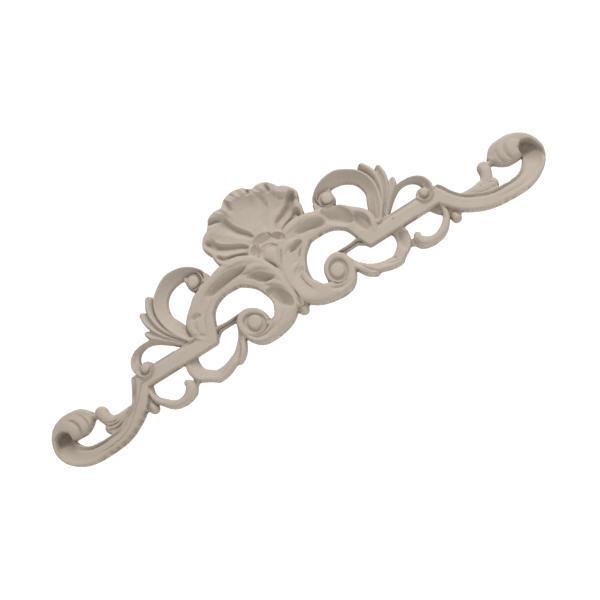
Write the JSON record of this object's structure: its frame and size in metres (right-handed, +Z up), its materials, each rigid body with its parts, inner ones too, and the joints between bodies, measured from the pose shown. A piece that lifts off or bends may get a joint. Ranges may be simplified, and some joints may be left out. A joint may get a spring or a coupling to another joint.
{
  "type": "ornamental moulding",
  "caption": "Pale carved wooden crest moulding with a shell, mirrored acanthus scrolls, moulded bars and curled arms, pierced and flat at the back.",
  "frame": {"origin": "on the flat back face, on the mirror line, at the joint between the two big scrolls", "axes": "+X along the length, +Y from the carved face to the wall, +Z up towards the shell"},
  "size_m": [0.5774, 0.0183, 0.1631],
  "materials": {
    "pale_wood": "matte"
  },
  "bodies": {
    "root": {"carved_crest": "pale_wood"}
  },
  "joints": []
}
